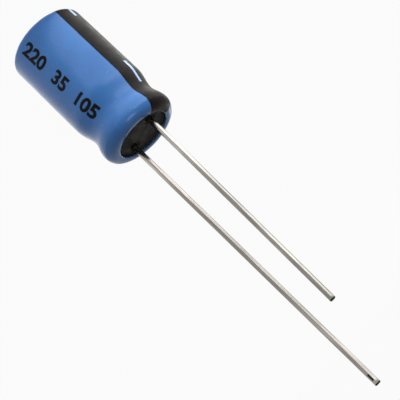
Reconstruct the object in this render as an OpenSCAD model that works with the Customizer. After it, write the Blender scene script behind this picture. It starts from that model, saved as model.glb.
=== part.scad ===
// Radial aluminium electrolytic capacitor, standing on its closed end with its leads up along +Z.
// The origin is on the can's axis, in the plane of the sleeved rim that seats on a board.
// The positive lead is on the +X side and the negative lead on the -X side.

/* [Can] */
// Outer diameter of the bare can
can_d = 8; // [6.8:0.1:12]
// Length of the bare can, from its closed end to its curled rim
can_len = 14.05; // [13:0.05:24]
// Thickness of the can's side wall
can_wall = 0.25; // [0.15:0.01:0.35]
// Thickness of the can's closed end
can_end_t = 0.32; // [0.2:0.01:0.5]
// Radius of the corner round the closed end
can_corner_r = 0.3; // [0.1:0.05:0.8]
// Depth of the rolled groove that grips the bung
groove_depth = 0.42; // [0.2:0.02:0.6]
// Distance from the rim to the bottom of the groove
groove_from_rim = 2.65; // [2.3:0.05:3.2]
// Length of the slope from the can's side down into the groove
groove_slope = 2.4; // [1.2:0.1:3]
// How much narrower than the can the bead beyond the groove is, on the radius
bead_inset = 0.06; // [0:0.01:0.2]
// Straight length of that bead before the rim curls in
bead_len = 0.1; // [0.05:0.05:0.3]
// Radius of the curl that closes the rim
curl_r = 0.85; // [0.6:0.05:1.1]
// Angle that the curl turns past the rim's highest line
curl_over = 9; // [0:1:20]

/* [Pressure vent] */
// Length of each score line across the closed end
vent_len = 5.2; // [3:0.1:6]
// Width of a score line
vent_w = 0.3; // [0.15:0.01:0.5]
// Depth of a score line
vent_depth = 0.12; // [0.05:0.01:0.18]

/* [Sleeve] */
// Thickness of the shrunk plastic sleeve
sleeve_wall = 0.14; // [0.08:0.01:0.25]
// Gap between the sleeve and the can
sleeve_gap = 0.01; // [0.005:0.005:0.03]
// How far the sleeve laps inward over the closed end
sleeve_lap = 0.65; // [0.4:0.05:1.2]
// Angle that the sleeve's lip turns past the rim's highest line
sleeve_over = 11; // [2:1:22]

/* [Polarity stripe] */
// Width of the stripe, as an angle round the can
stripe_arc = 52; // [30:1:80]
// Turn of the stripe's middle away from the negative lead
stripe_turn = 11; // [-20:1:20]
// Depth of the stripe's dark layer in the sleeve
stripe_t = 0.08; // [0.04:0.01:0.1]
// Length of a minus mark
minus_len = 2.7; // [1.5:0.1:4]
// Width of a minus mark
minus_w = 0.45; // [0.2:0.05:0.8]
// Distance from one minus mark to the next
minus_pitch = 9.7; // [5:0.1:12]
// Distance from the seat plane to the middle of the first minus mark
minus_from_seat = 4.65; // [3:0.05:7]

/* [Bung] */
// Distance from the seat plane to the bung's outer face
bung_recess = 0.3; // [0.2:0.01:0.5]
// Thickness of the rubber bung
bung_t = 4.3; // [3.6:0.1:5]
// Gap round the bung, and round what passes through it
bung_fit = 0.01; // [0.005:0.005:0.03]
// Diameter of the dimple round each lead
dimple_d = 1.3; // [0.9:0.05:1.8]
// Depth of that dimple
dimple_depth = 0.14; // [0.05:0.01:0.3]
// Distance from the bung's raised face to the tip of the can's curl
face_clear = 0.08; // [0.02:0.02:0.2]

/* [Leads] */
// Diameter of the weld where a lead meets its shank, from which the lead tapers
weld_d = 0.8; // [0.65:0.05:0.95]
// Height above the bung's face at which that taper ends
weld_taper = 0.25; // [0.05:0.05:0.3]
// Distance between the two leads
lead_pitch = 3.5; // [2.6:0.1:4.4]
// Diameter of a lead
lead_d = 0.6; // [0.4:0.05:0.8]
// Length of the positive lead beyond the seat plane
positive_len = 31.3; // [15:0.1:40]
// Length of the negative lead beyond the seat plane
negative_len = 23.8; // [10:0.1:35]
// Length of the negative lead that stands square to the seat, before it leans in
square_len = 2.6; // [1:0.1:5]
// Angle by which the rest of the negative lead leans towards the axis
lean = 1.05; // [0.5:0.05:2]
// Radius of the bend between the square length and the leaning length
bend_r = 5; // [2:0.5:10]

/* [Tabs] */
// Diameter of the round shank of a tab
shank_d = 1; // [0.8:0.05:1.3]
// Distance from the bung's face to the weld between a lead and its shank
weld_depth = 0.5; // [0.35:0.05:1]
// How far a shank reaches past the bung's inner face
shank_past = 0.5; // [0.3:0.05:0.6]
// Thickness of a tab's flat paddle
paddle_t = 0.25; // [0.15:0.01:0.35]
// Width of a paddle
paddle_w = 1.7; // [1.2:0.1:2]
// How far a paddle stops short of the wound element's far edge
paddle_stop = 1.2; // [0.4:0.1:3]

/* [Wound element] */
// Outer diameter of the wound element with its tape
element_d = 7.3; // [6:0.05:7.4]
// Space between the wound element and the can's closed end
floor_gap = 0.38; // [0.1:0.02:0.8]
// How far the foils stop short of the paper at each edge
foil_inset = 0.4; // [0.2:0.05:1]
// Space between the bung and the wound element
element_gap = 0.7; // [0.65:0.05:0.9]
// Radius of the hole left by the winding pin
core_r = 0.55; // [0.4:0.05:0.9]
// Thickness of the etched positive foil
anode_t = 0.1; // [0.06:0.01:0.12]
// Thickness of the negative foil
cathode_t = 0.05; // [0.03:0.01:0.07]
// Thickness of a paper separator
paper_t = 0.05; // [0.03:0.01:0.07]
// Thickness of the closing tape
tape_t = 0.05; // [0.03:0.01:0.07]
// Gap between neighbouring layers
layer_gap = 0.01; // [0.005:0.005:0.015]
// Turns of bare paper before the foils start and after they end
bare_turns = 0.5; // [0.25:0.25:1]

/* [Hidden] */

sleeve_blue = "#2f63b4";
stripe_black = "#26221f";
aluminium_grey = "#c9ccd0";
rubber_black = "#1d1b1a";
tinned_grey = "#b8b8b4";
foil_grey = "#8e9196";
paper_tan = "#d9c69a";
tape_tan = "#e0d3a8";

ROUND = 96;             // facets on a full turn of a round piece
EPS = 0.01;             // reach of a cut past the face that it opens
CORNER_STEPS = 5;
SLOPE_STEPS = 10;
CURL_STEPS = 10;
STATIONS = 24;          // points on each turn of a wound layer
TAPE_TURNS = 0.75;

// The can's outline, as points of radius and height, from the closed end to the rim.
lap_t = sleeve_gap + sleeve_wall;
can_r = can_d / 2;
rim_z = -lap_t;
end_z = rim_z - can_len;
groove_z = rim_z - groove_from_rim;
groove_r = can_r - groove_depth;
bead_r = can_r - bead_inset;
curl_z = rim_z - curl_r;
curl_mid_r = bead_r - curl_r;
bead_z = curl_z - bead_len;

function reversed(list) = [for (i = [len(list) - 1:-1:0]) list[i]];

// Points on an arc about a centre, where 0 degrees points outward and 90 along the leads.
function arc(mid_r, mid_z, r, from, to, steps) =
    [for (i = [0:steps]) let (a = from + (to - from) * i / steps) [mid_r + r * cos(a), mid_z + r * sin(a)]];

// Points on a soft slope between two radii; its first point is left to the piece before it.
function slope(r1, z1, r2, z2, steps) =
    [for (i = [1:steps]) let (k = i / steps) [r1 + (r2 - r1) * (1 - cos(180 * k)) / 2, z1 + (z2 - z1) * k]];

function corner(inset) =
    arc(can_r - can_corner_r, end_z + can_corner_r, can_corner_r - inset, -90, 0, CORNER_STEPS);

function side(over) = concat(
    [[can_r, groove_z - groove_slope]],
    slope(can_r, groove_z - groove_slope, groove_r, groove_z, SLOPE_STEPS),
    slope(groove_r, groove_z, bead_r, bead_z, SLOPE_STEPS),
    arc(curl_mid_r, curl_z, curl_r, 0, 90 + over, CURL_STEPS));

// The same outline moved out by d, or in where d is negative.
function unit(v) = v / norm(v);
function normal(path, i) =
    let (t = unit(path[min(i + 1, len(path) - 1)] - path[max(i - 1, 0)])) [t[1], -t[0]];
function moved(path, d) = [for (i = [0:len(path) - 1]) path[i] + d * normal(path, i)];

module turned(points) {
    rotate_extrude($fn = ROUND) polygon(points);
}

// Sleeve and stripe
lap_start_r = can_r - sleeve_lap;
function wrap(over) = concat([[lap_start_r, end_z]], corner(0), side(over));
function skin(inner, outer) =
    let (path = wrap(sleeve_over)) concat(moved(path, outer), reversed(moved(path, inner)));

stripe_mid = 180 - stripe_turn;
minus_r = can_r + lap_t - stripe_t - EPS;

module stripe_field(reach) {
    rotate([0, 0, stripe_mid - stripe_arc / 2])
        rotate_extrude(angle = stripe_arc, $fn = ROUND) polygon(skin(lap_t - stripe_t, lap_t + reach));
}

mark_count = 1 + floor((can_len + lap_t - minus_from_seat) / minus_pitch + 0.5);

module minus_marks() {
    for (i = [0:mark_count - 1])
        rotate([0, 0, stripe_mid])
            translate([minus_r, -minus_w / 2, -minus_from_seat - i * minus_pitch - minus_len / 2])
                cube([1, minus_w, minus_len]);
}

// The stripe, with its outer face raised by reach where it serves as a cutter.
module stripe_shape(reach) {
    difference() {
        stripe_field(reach);
        minus_marks();
    }
}

module sleeve() {
    color(sleeve_blue) difference() {
        turned(skin(sleeve_gap, lap_t));
        stripe_shape(EPS);
    }
}

module polarity_stripe() {
    color(stripe_black) stripe_shape(0);
}

// Can
can_in_r = can_r - can_wall;
can_in_corner_r = max(can_corner_r - can_wall, 0.05);
floor_z = end_z + can_end_t;

module can() {
    rim = side(curl_over);
    color(aluminium_grey) difference() {
        turned(concat(
            [[0, end_z]], corner(0), rim, reversed(moved(rim, -can_wall)),
            reversed(arc(can_in_r - can_in_corner_r, floor_z + can_in_corner_r, can_in_corner_r, -90, 0, 3)),
            [[0, floor_z]]));
        for (a = [45, 135])
            rotate([0, 0, a])
                translate([-vent_len / 2, -vent_w / 2, end_z - EPS])
                    cube([vent_len, vent_w, vent_depth + EPS]);
    }
}

// Bung
bung_out_z = -bung_recess;
bung_in_z = bung_out_z - bung_t;
bung_face_r = curl_mid_r - curl_r * sin(curl_over) - face_clear;
weld_z = bung_out_z - weld_depth;
weld_top_z = bung_out_z + weld_taper;
dimple_z = bung_out_z - dimple_depth;
lead_r = lead_d / 2;
weld_r = weld_d / 2;
shank_r = shank_d / 2;
lead_at = lead_pitch / 2;

function weld_r_at(z) = weld_r + (lead_r - weld_r) * (z - weld_z) / (weld_top_z - weld_z);

// The hole for a shank, its weld and the dimple over them.
module bore() {
    turned([
        [0, bung_in_z - EPS], [shank_r + bung_fit, bung_in_z - EPS],
        [shank_r + bung_fit, weld_z], [weld_r + bung_fit, weld_z],
        [weld_r_at(dimple_z) + bung_fit, dimple_z],
        [dimple_d / 2, bung_out_z], [dimple_d / 2, bung_out_z + EPS], [0, bung_out_z + EPS]]);
}

module rubber_bung() {
    rim = [for (p = moved(side(0), -can_wall - bung_fit)) if (p[1] > bung_in_z) p];
    shoulder_z = curl_z + (curl_r - can_wall - bung_fit) * cos(curl_over);
    color(rubber_black) difference() {
        turned(concat(
            [[0, bung_in_z], [rim[0][0], bung_in_z]],
            [for (p = rim) if (p[1] < shoulder_z) p],
            [[curl_mid_r, shoulder_z], [bung_face_r, shoulder_z]],
            [[bung_face_r, bung_out_z], [0, bung_out_z]]));
        for (s = [-1, 1])
            translate([s * lead_at, 0, 0]) bore();
    }
}

// Leads. A lead tapers from its weld and stands square to the seat. The negative one then leans in.
module square_wire(length) {
    turned([[0, weld_z], [weld_r, weld_z], [lead_r, weld_top_z], [lead_r, length], [0, length]]);
}

module leaning_wire(length) {
    translate([-bend_r, 0, 0]) {
        rotate([90, 0, 0]) rotate_extrude(angle = lean, $fn = ROUND)
            translate([bend_r, 0]) circle(r = lead_r, $fn = ROUND);
        rotate([0, -lean, 0]) translate([bend_r, 0, 0])
            cylinder(r = lead_r, h = (length - bend_r * sin(lean)) / cos(lean), $fn = ROUND);
    }
}

module positive_lead() {
    color(tinned_grey) translate([lead_at, 0, 0]) square_wire(positive_len);
}

module negative_lead() {
    color(tinned_grey) mirror([1, 0, 0]) translate([lead_at, 0, 0]) {
        square_wire(square_len);
        translate([0, 0, square_len]) leaning_wire(negative_len - square_len);
    }
}

// Wound element. Every layer follows one spiral, on which turns are counted from the core.
PAPER_1 = 1;
CATHODE = 2;
PAPER_2 = 3;
ANODE = 0;
layer_ts = [anode_t, paper_t, cathode_t, paper_t];
function layer_in(k) = k == 0 ? 0 : layer_in(k - 1) + layer_ts[k - 1] + layer_gap;
layer_pitch = layer_in(4);
bump = paddle_t + layer_gap;

function whole(t) = round(t * STATIONS) / STATIONS;
// Turn at which a foil passes under its paddle, with the paddle's middle near the shank's axis.
function seat_turn(k) =
    (lead_at - paddle_t / 2 - layer_gap - layer_ts[k] - layer_in(k) - core_r) / layer_pitch;
anode_turn = whole(seat_turn(ANODE));
cathode_turn = anode_turn + 0.5 + round(seat_turn(CATHODE) - anode_turn - 0.5);
turns = whole((element_d / 2 - bump - tape_t - core_r) / layer_pitch - TAPE_TURNS - 0.5 / STATIONS);

// Full lift within 45 degrees of a paddle's middle, falling to nothing at 90 degrees.
function lift(off) = off < 45 ? 1 : off < 90 ? (1 + cos(4 * (off - 45))) / 2 : 0;
// Lift of layer k at turn t over the paddle on foil f at turn p.
function over_paddle(t, k, p, f) =
    let (m = round(t - p)) m > 0 || (m == 0 && k > f) ? bump * lift(abs(t - p - m) * 360) : 0;
function layer_r(t, k) = core_r + layer_in(k) + layer_pitch * t
    + over_paddle(t, k, anode_turn, ANODE) + over_paddle(t, k, cathode_turn, CATHODE);
function on_spiral(t, r) = let (a = (t - anode_turn) * 360) [r * cos(a), r * sin(a)];

// A strip on layer k from turn t1 to turn t2, raised off that layer's inner face by rise.
module strip(k, rise, thick, t1, t2) {
    stops = [for (i = [round(t1 * STATIONS):round(t2 * STATIONS)]) i / STATIONS];
    inner = [for (t = stops) on_spiral(t, layer_r(t, k) + rise)];
    outer = [for (t = stops) on_spiral(t, layer_r(t, k) + rise + thick)];
    polygon(concat(outer, reversed(inner)));
}

paper_top = bung_in_z - element_gap;
paper_bottom = floor_z + floor_gap;
paper_w = paper_top - paper_bottom;
foil_w = paper_w - 2 * foil_inset;

module foil(k) {
    translate([0, 0, paper_bottom + foil_inset])
        linear_extrude(foil_w) strip(k, 0, layer_ts[k], bare_turns, turns - bare_turns);
}

module paper(k) {
    translate([0, 0, paper_bottom]) linear_extrude(paper_w) strip(k, 0, paper_t, 0, turns);
}

module anode_foil() {
    color(foil_grey) foil(ANODE);
}

module cathode_foil() {
    color(foil_grey) foil(CATHODE);
}

module inner_separator() {
    color(paper_tan) paper(PAPER_1);
}

module outer_separator() {
    color(paper_tan) paper(PAPER_2);
}

module closing_tape() {
    color(tape_tan) translate([0, 0, paper_bottom])
        linear_extrude(paper_w) strip(ANODE, 0, tape_t, turns, turns + TAPE_TURNS);
}

// Tabs. The round shank is the tab's outer part, and the paddle is its flattened inner part.
shank_z = bung_in_z - shank_past;
paddle_half = round(asin(paddle_w / 2 / lead_at) / 360 * STATIONS) / STATIONS;

module tab(k, turn, where) {
    translate([where, 0, shank_z]) cylinder(r = shank_r, h = weld_z - shank_z, $fn = ROUND);
    translate([0, 0, paper_bottom + paddle_stop])
        linear_extrude(shank_z + shank_past / 2 - paper_bottom - paddle_stop)
            strip(k, layer_ts[k] + layer_gap, paddle_t, turn - paddle_half, turn + paddle_half);
}

module anode_tab() {
    color(aluminium_grey) tab(ANODE, anode_turn, lead_at);
}

module cathode_tab() {
    color(aluminium_grey) tab(CATHODE, cathode_turn, -lead_at);
}

sleeve();
polarity_stripe();
can();
rubber_bung();
positive_lead();
negative_lead();
anode_tab();
cathode_tab();
anode_foil();
cathode_foil();
inner_separator();
outer_separator();
closing_tape();
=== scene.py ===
import math

import bmesh
import bpy
from mathutils import Matrix, Vector, noise


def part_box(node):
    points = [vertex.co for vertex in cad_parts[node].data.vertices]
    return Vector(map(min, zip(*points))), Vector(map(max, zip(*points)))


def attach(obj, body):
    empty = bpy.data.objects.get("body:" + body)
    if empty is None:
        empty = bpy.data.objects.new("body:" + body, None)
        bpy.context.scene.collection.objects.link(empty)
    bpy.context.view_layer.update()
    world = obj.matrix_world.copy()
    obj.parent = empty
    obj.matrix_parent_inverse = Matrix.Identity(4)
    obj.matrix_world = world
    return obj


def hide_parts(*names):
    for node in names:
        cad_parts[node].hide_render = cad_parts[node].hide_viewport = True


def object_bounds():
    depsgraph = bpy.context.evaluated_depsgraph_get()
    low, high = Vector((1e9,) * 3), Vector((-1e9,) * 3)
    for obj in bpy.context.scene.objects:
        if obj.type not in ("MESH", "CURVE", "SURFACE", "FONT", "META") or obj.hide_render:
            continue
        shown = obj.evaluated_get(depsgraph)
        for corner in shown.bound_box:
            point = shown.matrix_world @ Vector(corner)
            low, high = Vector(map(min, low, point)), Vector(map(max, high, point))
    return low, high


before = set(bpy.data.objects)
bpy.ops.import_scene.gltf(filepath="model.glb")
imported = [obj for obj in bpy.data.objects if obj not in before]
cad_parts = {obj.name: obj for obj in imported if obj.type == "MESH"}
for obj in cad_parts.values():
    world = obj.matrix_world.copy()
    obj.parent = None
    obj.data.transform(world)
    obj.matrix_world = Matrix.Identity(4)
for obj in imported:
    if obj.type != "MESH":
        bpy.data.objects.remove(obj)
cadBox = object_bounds()
mm = 0.001  # every size below is in millimetres
fullTurn = 360
print("stage: frame loaded,", len(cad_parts), "nodes")

meshSettings = {
    "merge": 1e-7,  # points nearer than this become one, in metres
    "onAxis": 1e-6,  # a point nearer to the axis than this has no side
    "sharpAngle": 40,
}


# Small helpers for meshes. A profile is a list of points (height, radius) and turns about the Z axis.
def arcPoints(midZ, midR, radius, start, end, steps):
    # 0 degrees points outward and 90 along the leads
    angles = [math.radians(start + (end - start) * i / steps) for i in range(steps + 1)]
    return [(midZ + radius * math.sin(a), midR + radius * math.cos(a)) for a in angles]


def between(a, b, steps):
    return [a + (b - a) * i / steps for i in range(steps + 1)]


def offsetPath(path, distance):
    moved = []
    for i, (z, r) in enumerate(path):
        before, after = path[max(i - 1, 0)], path[min(i + 1, len(path) - 1)]
        dz, dr = after[0] - before[0], after[1] - before[1]
        length = math.hypot(dz, dr)
        moved.append((z - dr / length * distance, r + dz / length * distance))
    return moved


def roundEnd(fromPoint, toPoint, steps):
    # half a circle from one point to the other, bulging to the left of that direction
    midZ, midR = (fromPoint[0] + toPoint[0]) / 2, (fromPoint[1] + toPoint[1]) / 2
    dz, dr = fromPoint[0] - midZ, fromPoint[1] - midR
    turns = [math.pi * i / steps for i in range(1, steps)]
    return [(midZ + dz * math.cos(a) + dr * math.sin(a),
             midR + dr * math.cos(a) - dz * math.sin(a)) for a in turns]


def turnedMesh(points, steps, closed=False, start=0, sweep=fullTurn):
    bm = bmesh.new()
    turn = math.radians(start)
    verts = [bm.verts.new((r * math.cos(turn) * mm, r * math.sin(turn) * mm, z * mm)) for z, r in points]
    pairs = list(zip(verts, verts[1:] + (verts[:1] if closed else [])))
    edges = [bm.edges.new(pair) for pair in pairs]
    bmesh.ops.spin(bm, geom=verts + edges, cent=(0, 0, 0), axis=(0, 0, 1), dvec=(0, 0, 0),
                   angle=math.radians(sweep), steps=steps, use_merge=sweep == fullTurn, use_duplicate=False)
    bmesh.ops.remove_doubles(bm, verts=bm.verts, dist=meshSettings["merge"])
    bmesh.ops.recalc_face_normals(bm, faces=bm.faces)
    return bm


def smoothFaces(mesh):
    for polygon in mesh.polygons:
        polygon.use_smooth = True
    mesh.set_sharp_from_angle(angle=math.radians(meshSettings["sharpAngle"]))


def finishPiece(bm, name, material, nodes=()):
    mesh = bpy.data.meshes.new(name)
    bm.to_mesh(mesh)
    bm.free()
    smoothFaces(mesh)
    piece = bpy.data.objects.new(name, mesh)
    bpy.context.scene.collection.objects.link(piece)
    mesh.materials.append(material)
    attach(piece, "root")
    if nodes:
        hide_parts(*nodes)
    return piece


# Camera, on the line from which the object was seen.
cameraSettings = {
    "lens": 102.08,
    "sensor": 36,
    "azimuth": -35.940,
    "elevation": 19.242,
    "roll": 134.006,
    "aim": (2.128, 1.716, 7.561),
    "distance": 106.25,
    "nearest": 10,
    "farthest": 20000,
}


def makeCamera(spec):
    data = bpy.data.cameras.new("camera")
    data.lens = spec["lens"]
    data.sensor_width = spec["sensor"]
    data.clip_start = spec["nearest"] * mm
    data.clip_end = spec["farthest"] * mm
    camera = bpy.data.objects.new("camera", data)
    bpy.context.scene.collection.objects.link(camera)
    turned = (Matrix.Rotation(math.radians(spec["azimuth"]), 4, "Z")
              @ Matrix.Rotation(math.radians(90 - spec["elevation"]), 4, "X")
              @ Matrix.Rotation(math.radians(spec["roll"]), 4, "Z"))
    aim = Matrix.Translation(Vector(spec["aim"]) * mm)
    camera.matrix_world = aim @ turned @ Matrix.Translation((0, 0, spec["distance"] * mm))
    bpy.context.scene.camera = camera


makeCamera(cameraSettings)
print("stage: camera")


# Node helpers. A value in inputs is either a socket to link or a number to set.
def addNode(tree, kind, inputs=None, **settings):
    made = tree.nodes.new(kind)
    for name, value in settings.items():
        setattr(made, name, value)
    for name, value in (inputs or {}).items():
        if isinstance(value, bpy.types.NodeSocket):
            tree.links.new(value, made.inputs[name])
        else:
            made.inputs[name].default_value = value
    return made


def addSockets(group, inputs):
    # a value of three numbers makes a vector socket; the group puts out one mask
    for name, value in inputs.items():
        kind = "NodeSocketVector" if isinstance(value, tuple) else "NodeSocketFloat"
        group.interface.new_socket(name, in_out="INPUT", socket_type=kind).default_value = value
    group.interface.new_socket("Mask", in_out="OUTPUT", socket_type="NodeSocketFloat")


def makeGrainGroup():
    # noise in object space, stretched per axis; Scale is in features per metre
    group = bpy.data.node_groups.new("grain", "ShaderNodeTree")
    addSockets(group, {"Scale": 1000.0, "Detail": 2.0, "Low": 0.3, "High": 0.7, "Stretch": (1, 1, 1)})
    given = addNode(group, "NodeGroupInput").outputs
    place = addNode(group, "ShaderNodeTexCoord").outputs["Object"]
    stretched = addNode(group, "ShaderNodeVectorMath", {0: place, 1: given["Stretch"]},
                        operation="MULTIPLY")
    field = addNode(group, "ShaderNodeTexNoise",
                    {"Vector": stretched.outputs[0], "Scale": given["Scale"], "Detail": given["Detail"]})
    mask = addNode(group, "ShaderNodeMapRange",
                   {"Value": field.outputs["Fac"], "From Min": given["Low"], "From Max": given["High"]})
    addNode(group, "NodeGroupOutput", {"Mask": mask.outputs["Result"]})
    return group


def makeSpeckGroup():
    # sparse fine specks of dust: round spots in a share of the cells
    group = bpy.data.node_groups.new("specks", "ShaderNodeTree")
    addSockets(group, {"Scale": 4000.0, "Size": 0.12, "Share": 0.1})
    given = addNode(group, "NodeGroupInput").outputs
    place = addNode(group, "ShaderNodeTexCoord").outputs["Object"]
    cells = addNode(group, "ShaderNodeTexVoronoi", {"Vector": place, "Scale": given["Scale"]})
    near = addNode(group, "ShaderNodeMath", {0: cells.outputs["Distance"], 1: given["Size"]},
                   operation="LESS_THAN")
    split = addNode(group, "ShaderNodeSeparateColor", {"Color": cells.outputs["Color"]})
    rare = addNode(group, "ShaderNodeMath", {0: split.outputs[0], 1: given["Share"]},
                   operation="LESS_THAN")
    both = addNode(group, "ShaderNodeMath", {0: near.outputs[0], 1: rare.outputs[0]},
                   operation="MULTIPLY")
    addNode(group, "NodeGroupOutput", {"Mask": both.outputs[0]})
    return group


grainGroup = makeGrainGroup()
speckGroup = makeSpeckGroup()


def grain(tree, scale, detail=2.0, low=0.3, high=0.7, stretch=(1, 1, 1)):
    made = addNode(tree, "ShaderNodeGroup", node_tree=grainGroup)
    values = {"Scale": scale, "Detail": detail, "Low": low, "High": high, "Stretch": stretch}
    for name, value in values.items():
        made.inputs[name].default_value = value
    return made.outputs["Mask"]


def specks(tree, scale, size, share):
    made = addNode(tree, "ShaderNodeGroup", node_tree=speckGroup)
    for name, value in {"Scale": scale, "Size": size, "Share": share}.items():
        made.inputs[name].default_value = value
    return made.outputs["Mask"]


def blendColour(tree, mask, first, second):
    # of a colour mix, inputs 6 and 7 and output 2 are the colours
    made = addNode(tree, "ShaderNodeMix", data_type="RGBA")
    tree.links.new(mask, made.inputs[0])
    for socket, value in ((made.inputs[6], first), (made.inputs[7], second)):
        if isinstance(value, bpy.types.NodeSocket):
            tree.links.new(value, socket)
        else:
            socket.default_value = (*value, 1)
    return made.outputs[2]


def spread(tree, mask, low, high):
    made = addNode(tree, "ShaderNodeMapRange", {"Value": mask, "To Min": low, "To Max": high})
    return made.outputs["Result"]


def bump(tree, height, distance, normal=None):
    made = addNode(tree, "ShaderNodeBump", {"Height": height, "Distance": distance * mm})
    if normal:
        tree.links.new(normal, made.inputs["Normal"])
    return made.outputs["Normal"]


def newMaterial(name, **shader):
    material = bpy.data.materials.new(name)
    material.use_nodes = True
    tree = material.node_tree
    surface = tree.nodes["Principled BSDF"]
    for socket, value in shader.items():
        surface.inputs[socket.replace("_", " ")].default_value = value
    return material, tree, surface.inputs


def connect(tree, shader, colour, roughness, normal):
    tree.links.new(colour, shader["Base Color"])
    tree.links.new(roughness, shader["Roughness"])
    tree.links.new(normal, shader["Normal"])


# A look holds colours, a range of roughness and patterns. The scale of a pattern is in features
# per metre, its stretch is per axis, and a depth is the height of the bumps in millimetres.

# Sleeve: PVC tube shrunk over the can, printed with the stripe.
sleeveLook = {
    "ior": 1.54,
    "gloss": 0.23,
    "blue": (0.032, 0.148, 0.428),
    "paleBlue": (0.044, 0.183, 0.498),
    "roughness": (0.20, 0.28),
    "clouds": {"scale": 300, "low": 0.25, "high": 0.75},
    "sheen": {"scale": 900},
    "peel": {"scale": 2600, "detail": 1},
    "peelDepth": 0.0025,
    "drawLines": {"scale": 3200, "stretch": (1, 1, 0.12)},
    "lineDepth": 0.002,
}


def makeSleeveMaterial(spec):
    material, tree, shader = newMaterial("shrunkPlastic", IOR=spec["ior"], Specular_IOR_Level=spec["gloss"])
    colour = blendColour(tree, grain(tree, **spec["clouds"]), spec["blue"], spec["paleBlue"])
    roughness = spread(tree, grain(tree, **spec["sheen"]), *spec["roughness"])
    peel = bump(tree, grain(tree, **spec["peel"]), spec["peelDepth"])
    lines = bump(tree, grain(tree, **spec["drawLines"]), spec["lineDepth"], peel)
    connect(tree, shader, colour, roughness, lines)
    return material


# The stripe's minus marks: the sleeve's field under the stripe, coloured paler than the sleeve's blue; that
# extra paleness is a painted highlight.
markLookWithPaintedHighlight = {
    "ior": 1.5,
    # both colours are paler than the sleeve's own blue: a painted highlight
    "pale": (0.42, 0.58, 0.82),
    "blue": (0.26, 0.44, 0.74),
    "roughness": (0.26, 0.38),
    "clouds": {"scale": 1200, "detail": 3},
    "sheen": {"scale": 900},
    "peel": {"scale": 2600, "detail": 1},
    "peelDepth": 0.0035,
}


def makeMarkMaterial(spec):
    material, tree, shader = newMaterial("markPrintPaintedHighlight", IOR=spec["ior"])
    colour = blendColour(tree, grain(tree, **spec["clouds"]), spec["pale"], spec["blue"])
    roughness = spread(tree, grain(tree, **spec["sheen"]), *spec["roughness"])
    connect(tree, shader, colour, roughness, bump(tree, grain(tree, **spec["peel"]), spec["peelDepth"]))
    return material


# Black ink of the stripe and the numbers, on the sleeve's own peel.
inkLook = {
    "ior": 1.5,
    "gloss": 0.05,
    "black": (0.004, 0.0036, 0.003),
    "brown": (0.012, 0.0095, 0.007),
    "dust": (0.030, 0.027, 0.024),
    "roughness": (0.30, 0.46),
    "patches": {"scale": 700, "detail": 3},
    "specks": {"scale": 3400, "size": 0.18, "share": 0.06},
    "sheen": {"scale": 1100},
}


def dustyColour(tree, spec, first, second):
    tint = blendColour(tree, grain(tree, **spec["patches"]), first, second)
    return blendColour(tree, specks(tree, **spec["specks"]), tint, spec["dust"])


def makeInkMaterial(spec):
    material, tree, shader = newMaterial("printedInk", IOR=spec["ior"], Specular_IOR_Level=spec["gloss"])
    colour = dustyColour(tree, spec, spec["black"], spec["brown"])
    roughness = spread(tree, grain(tree, **spec["sheen"]), *spec["roughness"])
    peel = bump(tree, grain(tree, **sleeveLook["peel"]), sleeveLook["peelDepth"])
    connect(tree, shader, colour, roughness, peel)
    return material


# Rubber: moulded, matt, with paler bloom in patches.
rubberLook = {
    "ior": 1.5,
    "gloss": 0.07,
    "black": (0.003, 0.0026, 0.0022),
    "bloom": (0.014, 0.011, 0.008),
    "dust": (0.040, 0.034, 0.028),
    "roughness": (0.50, 0.72),
    "patches": {"scale": 900, "detail": 4, "low": 0.4, "high": 0.75},
    "specks": {"scale": 4200, "size": 0.2, "share": 0.12},
    "sheen": {"scale": 1600},
    "pores": {"scale": 4200, "detail": 3},
    "poreDepth": 0.012,
}


def makeRubberMaterial(spec):
    material, tree, shader = newMaterial("mouldedRubber", IOR=spec["ior"], Specular_IOR_Level=spec["gloss"])
    colour = dustyColour(tree, spec, spec["black"], spec["bloom"])
    roughness = spread(tree, grain(tree, **spec["sheen"]), *spec["roughness"])
    connect(tree, shader, colour, roughness, bump(tree, grain(tree, **spec["pores"]), spec["poreDepth"]))
    return material


# Tinned wire: bright plating with streaks drawn along the wire.
wireLook = {
    "dark": (0.15, 0.140, 0.124),
    "bright": (0.38, 0.360, 0.335),
    "worn": (0.23, 0.216, 0.194),
    "roughness": (0.12, 0.22),
    "streaks": {"scale": 5000, "detail": 3, "low": 0.32, "high": 0.68, "stretch": (1, 1, 0.04)},
    "streakDepth": 0.0012,
    "blotches": {"scale": 1400, "detail": 3, "low": 0.35, "stretch": (1, 1, 0.35)},
    "waves": {"scale": 2200},
    "waveDepth": 0.002,
}


def makeWireMaterial(spec):
    material, tree, shader = newMaterial("tinnedWire", Metallic=1.0)
    streaks = grain(tree, **spec["streaks"])
    blotches = grain(tree, **spec["blotches"])
    tint = blendColour(tree, streaks, spec["dark"], spec["bright"])
    colour = blendColour(tree, blotches, tint, spec["worn"])
    lines = bump(tree, streaks, spec["streakDepth"])
    waves = bump(tree, grain(tree, **spec["waves"]), spec["waveDepth"], lines)
    roughness = spread(tree, blotches, *spec["roughness"])
    connect(tree, shader, colour, roughness, waves)
    return material


# Sheared end of a wire and the mark that the clamp left, coloured near black; on the sheared end this black
# is painted shade, as bare steel is grey.
steelLook = {
    "gloss": 0.1,
    "black": (0.003, 0.003, 0.003),
    "brown": (0.020, 0.017, 0.014),
    "roughness": (0.35, 0.6),
    "shearLines": {"scale": 9000, "detail": 3, "stretch": (1, 0.15, 1)},
    "lineDepth": 0.01,
}


def makeSteelMaterial(spec):
    material, tree, shader = newMaterial("shearedSteelPaintedShade", Specular_IOR_Level=spec["gloss"])
    lines = grain(tree, **spec["shearLines"])
    colour = blendColour(tree, lines, spec["black"], spec["brown"])
    roughness = spread(tree, lines, *spec["roughness"])
    connect(tree, shader, colour, roughness, bump(tree, lines, spec["lineDepth"]))
    return material


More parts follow.
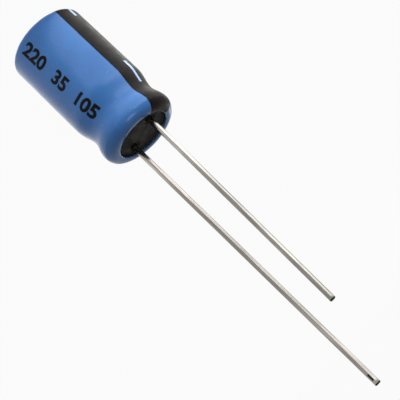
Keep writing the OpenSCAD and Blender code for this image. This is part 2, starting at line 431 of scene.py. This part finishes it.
# Deep-drawn sheet: its rolling lines run across the closed end.
canLook = {
    "dark": (0.60, 0.61, 0.62),
    "bright": (0.80, 0.80, 0.80),
    "stained": (0.66, 0.67, 0.69),
    "roughness": (0.30, 0.44),
    "rollLines": {"scale": 9000, "detail": 3, "stretch": (1, 0.04, 0.5)},
    "lineDepth": 0.003,
    "stains": {"scale": 600, "detail": 4, "low": 0.35},
}


def makeCanMaterial(spec):
    material, tree, shader = newMaterial("drawnAluminium", Metallic=1.0)
    lines = grain(tree, **spec["rollLines"])
    stains = grain(tree, **spec["stains"])
    tint = blendColour(tree, lines, spec["dark"], spec["bright"])
    colour = blendColour(tree, stains, tint, spec["stained"])
    roughness = spread(tree, stains, *spec["roughness"])
    connect(tree, shader, colour, roughness, bump(tree, lines, spec["lineDepth"]))
    return material


# Foils and tabs differ in colour and in how finely they are pitted.
foilLooks = {
    "etchedFoil": {
        "dark": (0.22, 0.225, 0.235), "pale": (0.36, 0.365, 0.38),
        "roughness": (0.62, 0.78), "pits": {"scale": 12000, "detail": 4}, "pitDepth": 0.004,
    },
    "plainFoil": {
        "dark": (0.42, 0.43, 0.44), "pale": (0.58, 0.585, 0.60),
        "roughness": (0.37, 0.53), "pits": {"scale": 7000, "detail": 4}, "pitDepth": 0.004,
    },
    "pressedTab": {
        "dark": (0.55, 0.56, 0.57), "pale": (0.74, 0.74, 0.75),
        "roughness": (0.30, 0.46), "pits": {"scale": 4000, "detail": 4}, "pitDepth": 0.004,
    },
}


def makeFoilMaterial(name, spec):
    material, tree, shader = newMaterial(name, Metallic=0.9)
    pits = grain(tree, **spec["pits"])
    colour = blendColour(tree, pits, spec["dark"], spec["pale"])
    roughness = spread(tree, pits, *spec["roughness"])
    connect(tree, shader, colour, roughness, bump(tree, pits, spec["pitDepth"]))
    return material


# Papers: the separators' tissue and the closing tape, both soaked in patches.
paperLook = {
    "ior": 1.45,
    "colours": {
        "soakedTissue": ((0.48, 0.38, 0.22), (0.66, 0.56, 0.38)),
        "windingTape": ((0.58, 0.49, 0.32), (0.74, 0.66, 0.48)),
    },
    "roughness": (0.55, 0.8),
    "fibres": {"scale": 5200, "detail": 5, "stretch": (1, 1, 0.4)},
    "fibreDepth": 0.006,
    "soaked": {"scale": 500, "detail": 3},
}


def makePaperMaterial(name, spec):
    material, tree, shader = newMaterial(name, IOR=spec["ior"])
    dark, pale = spec["colours"][name]
    fibres = grain(tree, **spec["fibres"])
    soaked = grain(tree, **spec["soaked"])
    colour = blendColour(tree, soaked, blendColour(tree, fibres, dark, pale), dark)
    roughness = spread(tree, soaked, *spec["roughness"])
    connect(tree, shader, colour, roughness, bump(tree, fibres, spec["fibreDepth"]))
    return material


sleevePlastic = makeSleeveMaterial(sleeveLook)
markPrintWithPaintedHighlight = makeMarkMaterial(markLookWithPaintedHighlight)
printInk = makeInkMaterial(inkLook)
rubber = makeRubberMaterial(rubberLook)
tinned = makeWireMaterial(wireLook)
cutEndWithPaintedShade = makeSteelMaterial(steelLook)
aluminium = makeCanMaterial(canLook)
foils = {name: makeFoilMaterial(name, look) for name, look in foilLooks.items()}
papers = {name: makePaperMaterial(name, paperLook) for name in paperLook["colours"]}
print("stage: materials")


# The sleeve's outer line, from the lap over the closed end to the lip round the bung.
sleeveSizes = {
    "wall": 0.14,
    "radius": 4.15,
    "endZ": -14.35,
    "lapRadius": 3.35,
    "cornerRadius": 0.45,
    "shoulderZ": -5.2,
    "grooveZ": -2.8,
    "grooveRadius": 3.73,
    "beadZ": -1.1,
    "beadRadius": 4.09,
    "curlRadius": 1.0,
    "curlZ": -1.0,
    "curlOver": 11,
    "ringGap": 0.22,  # from one ring of points to the next along the side
    "clearShare": 0.3,  # share of that gap that a ring keeps from the end of a minus mark
    "lapSteps": 5,
    "cornerSteps": 8,
    "curlSteps": 16,
    "edgeSteps": 5,
    "turnSteps": 360,
}


def easedRadius(z, lowZ, highZ, lowRadius, highRadius):
    share = (z - lowZ) / (highZ - lowZ)
    return lowRadius + (highRadius - lowRadius) * (1 - math.cos(math.pi * share)) / 2


def outerRadius(z):
    s = sleeveSizes
    if z <= s["shoulderZ"]:
        return s["radius"]
    if z <= s["grooveZ"]:
        return easedRadius(z, s["shoulderZ"], s["grooveZ"], s["radius"], s["grooveRadius"])
    if z <= s["beadZ"]:
        return easedRadius(z, s["grooveZ"], s["beadZ"], s["grooveRadius"], s["beadRadius"])
    if z <= s["curlZ"]:
        return s["beadRadius"]
    across = math.sqrt(max(s["curlRadius"] ** 2 - (z - s["curlZ"]) ** 2, 0))
    return s["beadRadius"] - s["curlRadius"] + across


def outerPath(markEnds):
    s = sleeveSizes
    cornerZ, cornerR = s["endZ"] + s["cornerRadius"], s["radius"] - s["cornerRadius"]
    lap = [(s["endZ"], r) for r in between(s["lapRadius"], cornerR, s["lapSteps"])[:-1]]
    corner = arcPoints(cornerZ, cornerR, s["cornerRadius"], -90, 0, s["cornerSteps"])
    count = round((s["curlZ"] - cornerZ) / s["ringGap"])
    rings = [z for z in between(cornerZ, s["curlZ"], count)[1:-1]
             if all(abs(z - end) > s["ringGap"] * s["clearShare"] for end in markEnds)]
    side = [(z, outerRadius(z)) for z in sorted(rings + markEnds)]
    curlMiddle = s["beadRadius"] - s["curlRadius"]
    curl = arcPoints(s["curlZ"], curlMiddle, s["curlRadius"], 0, 90 + s["curlOver"], s["curlSteps"])
    return lap + corner + side + curl


# Unevenness left by the shrinking: how far each swell goes along the radius, and how wide it is.
shrinkSettings = {
    "bodySwell": 0.010,
    "bodySize": 3.2,
    "beadSwell": 0.022,
    "beadSize": 1.5,
    "beadShift": (7, 3, 1),
    "beadFade": (-5.0, -2.2),  # heights between which the bead's swell grows
    "lipSwell": 0.030,
    "lipSize": 1.1,
    "lipShift": (2, 9, 4),
    "lipFade": (-0.8, 0.0),
    "lapFade": (13.9, 14.3),  # the same at the closed end, as depths below the seat
}


def smooth(value, low, high):
    t = min(max((value - low) / (high - low), 0), 1)
    return t * t * (3 - 2 * t)


def shrinkDent(x, y, z):
    s = shrinkSettings
    place = Vector((x, y, z))
    nearBead = smooth(z, *s["beadFade"])
    nearLip = smooth(z, *s["lipFade"]) + smooth(-z, *s["lapFade"])
    body = noise.noise(place / s["bodySize"]) * s["bodySwell"]
    bead = noise.noise(place / s["beadSize"] + Vector(s["beadShift"])) * s["beadSwell"] * nearBead
    lip = noise.noise(place / s["lipSize"] + Vector(s["lipShift"])) * s["lipSwell"] * nearLip
    return body + bead + lip


def shrinkOn(bm):
    # moves each point along its own radius, so wall and print keep their thickness
    for v in bm.verts:
        x, y, z = v.co / mm
        radius = math.hypot(x, y)
        if radius > meshSettings["onAxis"]:
            toSkin = sleeveSizes["radius"] / radius
            dent = shrinkDent(x * toSkin, y * toSkin, z)
            v.co += Vector((x, y, 0)) / radius * dent * mm


# Stripe: a printed band along the sleeve, left open at the minus marks.
stripeSettings = {
    "from": 143,
    "to": 195,
    "markFrom": 166,
    "markTo": 172,
    "markLength": 2.7,
    "markCentres": (-4.65, -14.35),
    "inkLift": 0.010,
    "inkThickness": 0.008,
}


def markEndHeights():
    s = stripeSettings
    sideStart = sleeveSizes["endZ"] + sleeveSizes["cornerRadius"]
    ends = [centre + side * s["markLength"] / 2 for centre in s["markCentres"] for side in (-1, 1)]
    return sorted(z for z in ends if z > sideStart)


def inMark(centre):
    s = stripeSettings
    angle = math.degrees(math.atan2(centre.y, centre.x)) % fullTurn
    return s["markFrom"] < angle < s["markTo"] and any(
        abs(centre.z / mm - c) < s["markLength"] / 2 for c in s["markCentres"])


def looksOutward(face):
    centre = face.calc_center_median()
    return face.normal.x * centre.x + face.normal.y * centre.y > 0


def makeSleeve(markEnds):
    # the field of each minus mark gets the paler print under the stripe, whose paleness is a painted
    # highlight
    steps = sleeveSizes["edgeSteps"]
    outer = outerPath(markEnds)
    inner = offsetPath(outer, -sleeveSizes["wall"])
    lip, lapEdge = roundEnd(outer[-1], inner[-1], steps), roundEnd(inner[0], outer[0], steps)
    bm = turnedMesh(outer + lip + inner[::-1] + lapEdge, sleeveSizes["turnSteps"], closed=True)
    markFaces = {f.index for f in bm.faces if inMark(f.calc_center_median()) and looksOutward(f)}
    shrinkOn(bm)
    piece = finishPiece(bm, "shrunkSleeve", sleevePlastic, ["sleeve"])
    piece.data.materials.append(markPrintWithPaintedHighlight)
    for index in markFaces:
        piece.data.polygons[index].material_index = 1
    return piece


def faceOutward(bm):
    # an open skin round the axis: turn every face to look away from the can's middle
    middle = Vector((0, 0, sleeveSizes["endZ"] / 2 * mm))
    bm.normal_update()
    turned = [f for f in bm.faces if f.normal.dot(f.calc_center_median() - middle) < 0]
    bmesh.ops.reverse_faces(bm, faces=turned)


def thickenInk(bm):
    # follows the sleeve's unevenness, then gets its thickness
    faceOutward(bm)
    shrinkOn(bm)
    bmesh.ops.solidify(bm, geom=bm.faces[:], thickness=stripeSettings["inkThickness"] * mm)
    bmesh.ops.recalc_face_normals(bm, faces=bm.faces)


def makeStripe(markEnds):
    s = stripeSettings
    raised = offsetPath(outerPath(markEnds), s["inkLift"])
    sweep = s["to"] - s["from"]
    bm = turnedMesh(raised, sweep, start=s["from"], sweep=sweep)
    bare = [f for f in bm.faces if inMark(f.calc_center_median())]
    bmesh.ops.delete(bm, geom=bare, context="FACES")
    thickenInk(bm)
    return finishPiece(bm, "stripePrint", printInk, ["polarity_stripe"])


markEnds = markEndHeights()
sleevePiece = makeSleeve(markEnds)
makeStripe(markEnds)
print("stage: sleeve and stripe,", len(sleevePiece.data.polygons), "faces")


# Plain numbers, printed in a line along the sleeve. Each text has the height of its middle.
numberSettings = {
    "texts": (("220", -12.0), ("35", -8.3), ("105", -4.7)),
    "height": 1.95,
    "bold": 0.07,
    "angle": 261,
    "curveSteps": 6,
    "merge": 1e-5,
    "cutMerge": 1e-6,
    "cutAcross": 0.12,
    "cutAlong": 0.24,
}


def textMesh(body, spec):
    curve = bpy.data.curves.new("numbers", "FONT")
    curve.body = body
    curve.size = spec["height"]
    curve.offset = spec["bold"]
    curve.align_x = "CENTER"
    curve.align_y = "CENTER"
    curve.resolution_u = spec["curveSteps"]
    holder = bpy.data.objects.new("numbers", curve)
    bpy.context.scene.collection.objects.link(holder)
    mesh = bpy.data.meshes.new_from_object(holder.evaluated_get(bpy.context.evaluated_depsgraph_get()))
    bpy.data.objects.remove(holder)
    bpy.data.curves.remove(curve)
    return mesh


def cutEvery(bm, axis, gap, merge):
    # parallel cuts, so that a flat figure can bend round the sleeve
    values = [v.co[axis] for v in bm.verts]
    level = math.ceil(min(values) / gap) * gap
    normal = Vector((0, 0, 0))
    normal[axis] = 1
    while level < max(values):
        bmesh.ops.bisect_plane(bm, geom=bm.verts[:] + bm.edges[:] + bm.faces[:], dist=merge,
                               plane_co=normal * level, plane_no=normal)
        level += gap


def makeNumbers(spec):
    joined = bmesh.new()
    for body, place in spec["texts"]:
        mesh = textMesh(body, spec)
        for v in mesh.vertices:
            v.co.x += place
        joined.from_mesh(mesh)
        bpy.data.meshes.remove(mesh)
    bmesh.ops.remove_doubles(joined, verts=joined.verts, dist=spec["merge"])
    cutEvery(joined, 1, spec["cutAcross"], spec["cutMerge"])
    cutEvery(joined, 0, spec["cutAlong"], spec["cutMerge"])
    for v in joined.verts:
        z, across = v.co.x, v.co.y  # the line of numbers runs along the can
        radius = outerRadius(z) + stripeSettings["inkLift"]
        angle = math.radians(spec["angle"]) - across / radius
        v.co = Vector((radius * math.cos(angle), radius * math.sin(angle), z)) * mm
    thickenInk(joined)
    return finishPiece(joined, "ratingNumbers", printInk)


makeNumbers(numberSettings)
print("stage: numbers")


# Bung: a turned rubber plug with a bore and a dimple for each lead.
bungSizes = {
    "faceZ": -0.3,
    "faceRadius": 2.88,
    "faceRing": 1.4,
    "edge": 0.06,
    "edgeSteps": 4,
    "shoulderZ": -0.41,
    # heights and radii of the side under the shoulder, which the can's groove grips
    "side": ((-0.41, 3.1), (-0.9, 3.5), (-1.4, 3.6), (-2.2, 3.42), (-2.8, 3.31), (-3.4, 3.42)),
    "innerZ": -4.6,
    "innerRadius": 3.62,
    "turnSteps": 180,
    "leadAt": 1.75,
}

holeSizes = {
    "dimpleRadius": 0.65,
    "dimpleDepth": 0.14,
    "rimRadius": 0.05,  # the dimple's edge is eased, as a moulding pin leaves it
    "rimSteps": 4,
    "boreRadius": 0.34,
    "boreEase": (0.03, 0.06),  # height and width of the slant into the bore
    "boreZ": -0.8,
    "cutTop": 0.5,
    "cutOver": 0.03,  # how much wider than the rim the cutter is, above the face
    "cutLift": 0.001,
    "turnSteps": 64,
}


def holeOutline():
    s, faceZ = holeSizes, bungSizes["faceZ"]
    rimMiddle = s["dimpleRadius"] + s["rimRadius"]
    widest = rimMiddle + s["cutOver"]
    dimpleZ = faceZ - s["dimpleDepth"]
    easeHeight, easeWidth = s["boreEase"]
    above = [(s["cutTop"], 0), (s["cutTop"], widest), (faceZ + s["cutLift"], widest)]
    rim = arcPoints(faceZ - s["rimRadius"], rimMiddle, s["rimRadius"], 90, 180, s["rimSteps"])
    bore = [(dimpleZ, s["boreRadius"] + easeWidth), (dimpleZ - easeHeight, s["boreRadius"])]
    return above + rim + bore + [(s["boreZ"], s["boreRadius"]), (s["boreZ"], 0)]


def cutHole(piece, at):
    bm = turnedMesh(holeOutline(), holeSizes["turnSteps"])
    bmesh.ops.translate(bm, verts=bm.verts, vec=(at * mm, 0, 0))
    mesh = bpy.data.meshes.new("cutter")
    bm.to_mesh(mesh)
    bm.free()
    cutter = bpy.data.objects.new("cutter", mesh)
    bpy.context.scene.collection.objects.link(cutter)
    modifier = piece.modifiers.new("hole", "BOOLEAN")
    modifier.operation = "DIFFERENCE"
    modifier.solver = "EXACT"
    modifier.object = cutter
    applied = bpy.data.meshes.new_from_object(piece.evaluated_get(bpy.context.evaluated_depsgraph_get()))
    piece.modifiers.clear()
    piece.data = applied
    smoothFaces(applied)
    bpy.data.objects.remove(cutter)
    bpy.data.meshes.remove(mesh)


def makeBung(spec):
    face = [(spec["faceZ"], 0), (spec["faceZ"], spec["faceRing"])]
    edge = arcPoints(spec["faceZ"] - spec["edge"], spec["faceRadius"] - spec["edge"], spec["edge"],
                     90, 0, spec["edgeSteps"])
    foot = [(spec["innerZ"], spec["innerRadius"]), (spec["innerZ"], 0)]
    outline = face + edge + [(spec["shoulderZ"], spec["faceRadius"])] + list(spec["side"]) + foot
    bm = turnedMesh(outline, spec["turnSteps"])
    piece = finishPiece(bm, "rubberPlug", rubber, ["rubber_bung"])
    for side in (-1, 1):
        cutHole(piece, side * spec["leadAt"])


makeBung(bungSizes)
print("stage: bung")


# Leads: drawn wire, very slightly uneven, sheared at the end.
leadSizes = {
    "radius": 0.3,
    "weldRadius": 0.4,
    "weldEdge": 0.03,
    "weldZ": -0.8,
    "weldTopZ": -0.05,
    "ringGap": 0.35,
    "turnSteps": 40,
    "uneven": 0.004,
    "unevenStretch": (2, 2, 0.8),
    "cutLength": 0.12,
    "cutEdge": ((0.015, 0.02), (0, 0.07)),  # below the end and inside the radius
    "squareLength": 2.6,
    "lean": 1.05,
    "clampMark": (1.2, 0.5),
    "clampSide": (236, 272),
}


def inClampMark(centre, at, tip):
    # the short dark mark that a clamp left on the longer lead, a little before its end
    s = leadSizes
    below = tip - centre.z / mm
    angle = math.degrees(math.atan2(centre.y / mm, centre.x / mm - at)) % fullTurn
    return s["clampMark"][0] > below > s["clampMark"][1] and s["clampSide"][0] < angle < s["clampSide"][1]


def leadOutline(tip):
    s = leadSizes
    count = round((tip - s["weldTopZ"]) / s["ringGap"])
    weld = [(s["weldZ"], 0), (s["weldZ"], s["weldRadius"] - s["weldEdge"]),
            (s["weldZ"] + s["weldEdge"], s["weldRadius"])]
    wire = [(z, s["radius"]) for z in between(s["weldTopZ"], tip - s["cutLength"], count)]
    end = [(tip - below, s["radius"] - inside) for below, inside in s["cutEdge"]]
    return weld + wire + end + [(tip, 0)]


def makeLead(name, node, at, tip, lean):
    s = leadSizes
    bm = turnedMesh(leadOutline(tip), s["turnSteps"])
    wide, deep, long = s["unevenStretch"]
    for v in bm.verts:
        x, y, z = v.co / mm
        radius = math.hypot(x, y)
        if radius > meshSettings["onAxis"]:
            swell = noise.noise(Vector((x * wide + at, y * deep, z * long))) * s["uneven"]
            v.co += Vector((x, y, 0)) / radius * swell * mm
        shift = math.tan(math.radians(lean)) * max(z - s["squareLength"], 0)
        v.co += Vector((at - math.copysign(shift, at), 0, 0)) * mm
    bmesh.ops.recalc_face_normals(bm, faces=bm.faces)
    piece = finishPiece(bm, name, tinned, [node])
    piece.data.materials.append(cutEndWithPaintedShade)
    for polygon in piece.data.polygons:
        marked = lean == 0 and inClampMark(polygon.center, at, tip)
        # the sheared end and the clamp's mark take the near-black steel; on the sheared end the black is
        # painted shade
        if polygon.center.z / mm > tip - s["cutLength"] or marked:
            polygon.material_index = 1


def makeLeads():
    leadAt = bungSizes["leadAt"]
    for name, node, side, lean in (("positiveWire", "positive_lead", 1, 0),
                                   ("negativeWire", "negative_lead", -1, leadSizes["lean"])):
        makeLead(name, node, side * leadAt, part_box(node)[1].z / mm, lean)


makeLeads()
print("stage: leads")


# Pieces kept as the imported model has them, each with its own finish.
keptFinishes = {
    "can": aluminium,
    "anode_tab": foils["pressedTab"],
    "cathode_tab": foils["pressedTab"],
    "anode_foil": foils["etchedFoil"],
    "cathode_foil": foils["plainFoil"],
    "inner_separator": papers["soakedTissue"],
    "outer_separator": papers["soakedTissue"],
    "closing_tape": papers["windingTape"],
}
for nodeName, finish in keptFinishes.items():
    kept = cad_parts[nodeName]
    kept.data.materials.clear()
    kept.data.materials.append(finish)
print("stage: kept nodes")


# Stage: a pale floor, a softbox in front and one behind, light panels lying on the floor,
# and a room that is dimmer overhead.
stageSettings = {
    "floorSize": 1600,
    "floorColour": (0.90, 0.90, 0.90),
    "floorCloud": (0.92, 0.92, 0.92),
    "floorGrain": {"scale": 60},
    "whiteShare": 0.95,  # how white the floor looks where it is seen directly
    "roomLow": 0.26,
    "roomHigh": 0.05,
    "softboxDistance": 250,
    "softboxes": {
        # the way towards it, its width and power
        "frontSoftbox": ((-0.60, -0.52, 0.61), 84, 0.11),
        "backSoftbox": ((0.25, 0.95, 0.17), 84, 0.045),
    },
    "panelLift": 0.1,
    "panelTurn": 169,
    "panels": {
        # start along panelTurn, length that way, width and power
        "tablePanel": (-45, 100, 100, 0.015),
        "nearPanel": (4.5, 26, 44, 0.0052),
        "sidePanel": (30, 45, 84, 0.040),
        "farPanel": (75, 95, 200, 0.160),
        "lastPanel": (170, 430, 640, 2.1),
    },
}


def seenDirectly(tree):
    # 1 where the camera, a mirror-like surface or glass looks straight at this surface
    rays = addNode(tree, "ShaderNodeLightPath").outputs
    first = addNode(tree, "ShaderNodeMath", {0: rays["Is Camera Ray"], 1: rays["Is Glossy Ray"]},
                    operation="MAXIMUM")
    return addNode(tree, "ShaderNodeMath", {0: first.outputs[0], 1: rays["Is Transmission Ray"]},
                   operation="MAXIMUM").outputs[0]


def makeFloor(spec):
    material = bpy.data.materials.new("paleFloor")
    material.use_nodes = True
    tree = material.node_tree
    tree.nodes.clear()
    clouded = blendColour(tree, grain(tree, **spec["floorGrain"]), spec["floorColour"], spec["floorCloud"])
    plain = addNode(tree, "ShaderNodeBsdfDiffuse", {"Color": clouded})
    white = addNode(tree, "ShaderNodeEmission", {"Color": (1, 1, 1, 1), "Strength": 1.0})
    share = addNode(tree, "ShaderNodeMath", {0: seenDirectly(tree), 1: spec["whiteShare"]},
                    operation="MULTIPLY")
    mixed = addNode(tree, "ShaderNodeMixShader",
                    {0: share.outputs[0], 1: plain.outputs[0], 2: white.outputs[0]})
    addNode(tree, "ShaderNodeOutputMaterial", {"Surface": mixed.outputs[0]})
    bm = bmesh.new()
    bmesh.ops.create_grid(bm, x_segments=2, y_segments=2, size=spec["floorSize"] * mm / 2)
    bmesh.ops.translate(bm, verts=bm.verts, vec=(0, 0, cadBox[0].z))
    mesh = bpy.data.meshes.new("floor")
    bm.to_mesh(mesh)
    bm.free()
    mesh.materials.append(material)
    floor = bpy.data.objects.new("floor", mesh)
    bpy.context.scene.collection.objects.link(floor)


def makeLamp(name, size, power, placed):
    data = bpy.data.lights.new(name, "AREA")
    data.shape = "RECTANGLE"
    data.size, data.size_y = size[0] * mm, size[1] * mm
    data.energy = power
    lamp = bpy.data.objects.new(name, data)
    bpy.context.scene.collection.objects.link(lamp)
    lamp.matrix_world = placed
    lamp.visible_camera = False


def makeSoftboxes(spec):
    middle = (cadBox[0] + cadBox[1]) / 2
    for name, (direction, width, power) in spec["softboxes"].items():
        away = Vector(direction).normalized()
        aimed = away.to_track_quat("Z", "Y").to_matrix().to_4x4()
        placed = Matrix.Translation(middle + away * spec["softboxDistance"] * mm) @ aimed
        makeLamp(name, (width, width), power, placed)


def makeLowPanels(spec):
    # these lie just above the floor, shining up, and run outward from the part in a widening fan
    turned = Matrix.Rotation(math.radians(spec["panelTurn"]), 4, "Z")
    facingUp = Matrix.Rotation(math.pi, 4, "X")
    for name, (start, length, width, power) in spec["panels"].items():
        outward = Matrix.Translation(((start + length / 2) * mm, 0, cadBox[0].z + spec["panelLift"] * mm))
        makeLamp(name, (length, width), power, turned @ outward @ facingUp)


def makeRoom(spec):
    world = bpy.data.worlds.new("room")
    bpy.context.scene.world = world
    world.use_nodes = True
    tree = world.node_tree
    tree.nodes.clear()
    direction = addNode(tree, "ShaderNodeTexCoord").outputs["Generated"]
    upward = addNode(tree, "ShaderNodeSeparateXYZ", {0: direction}).outputs["Z"]
    strength = spread(tree, seenDirectly(tree), spread(tree, upward, spec["roomLow"], spec["roomHigh"]), 1.0)
    light = addNode(tree, "ShaderNodeBackground", {"Color": (1, 1, 1, 1), "Strength": strength})
    addNode(tree, "ShaderNodeOutputWorld", {"Surface": light.outputs[0]})


makeFloor(stageSettings)
makeSoftboxes(stageSettings)
makeLowPanels(stageSettings)
makeRoom(stageSettings)
bpy.context.scene.view_settings.view_transform = "Standard"
print("stage: floor, lamps and room")
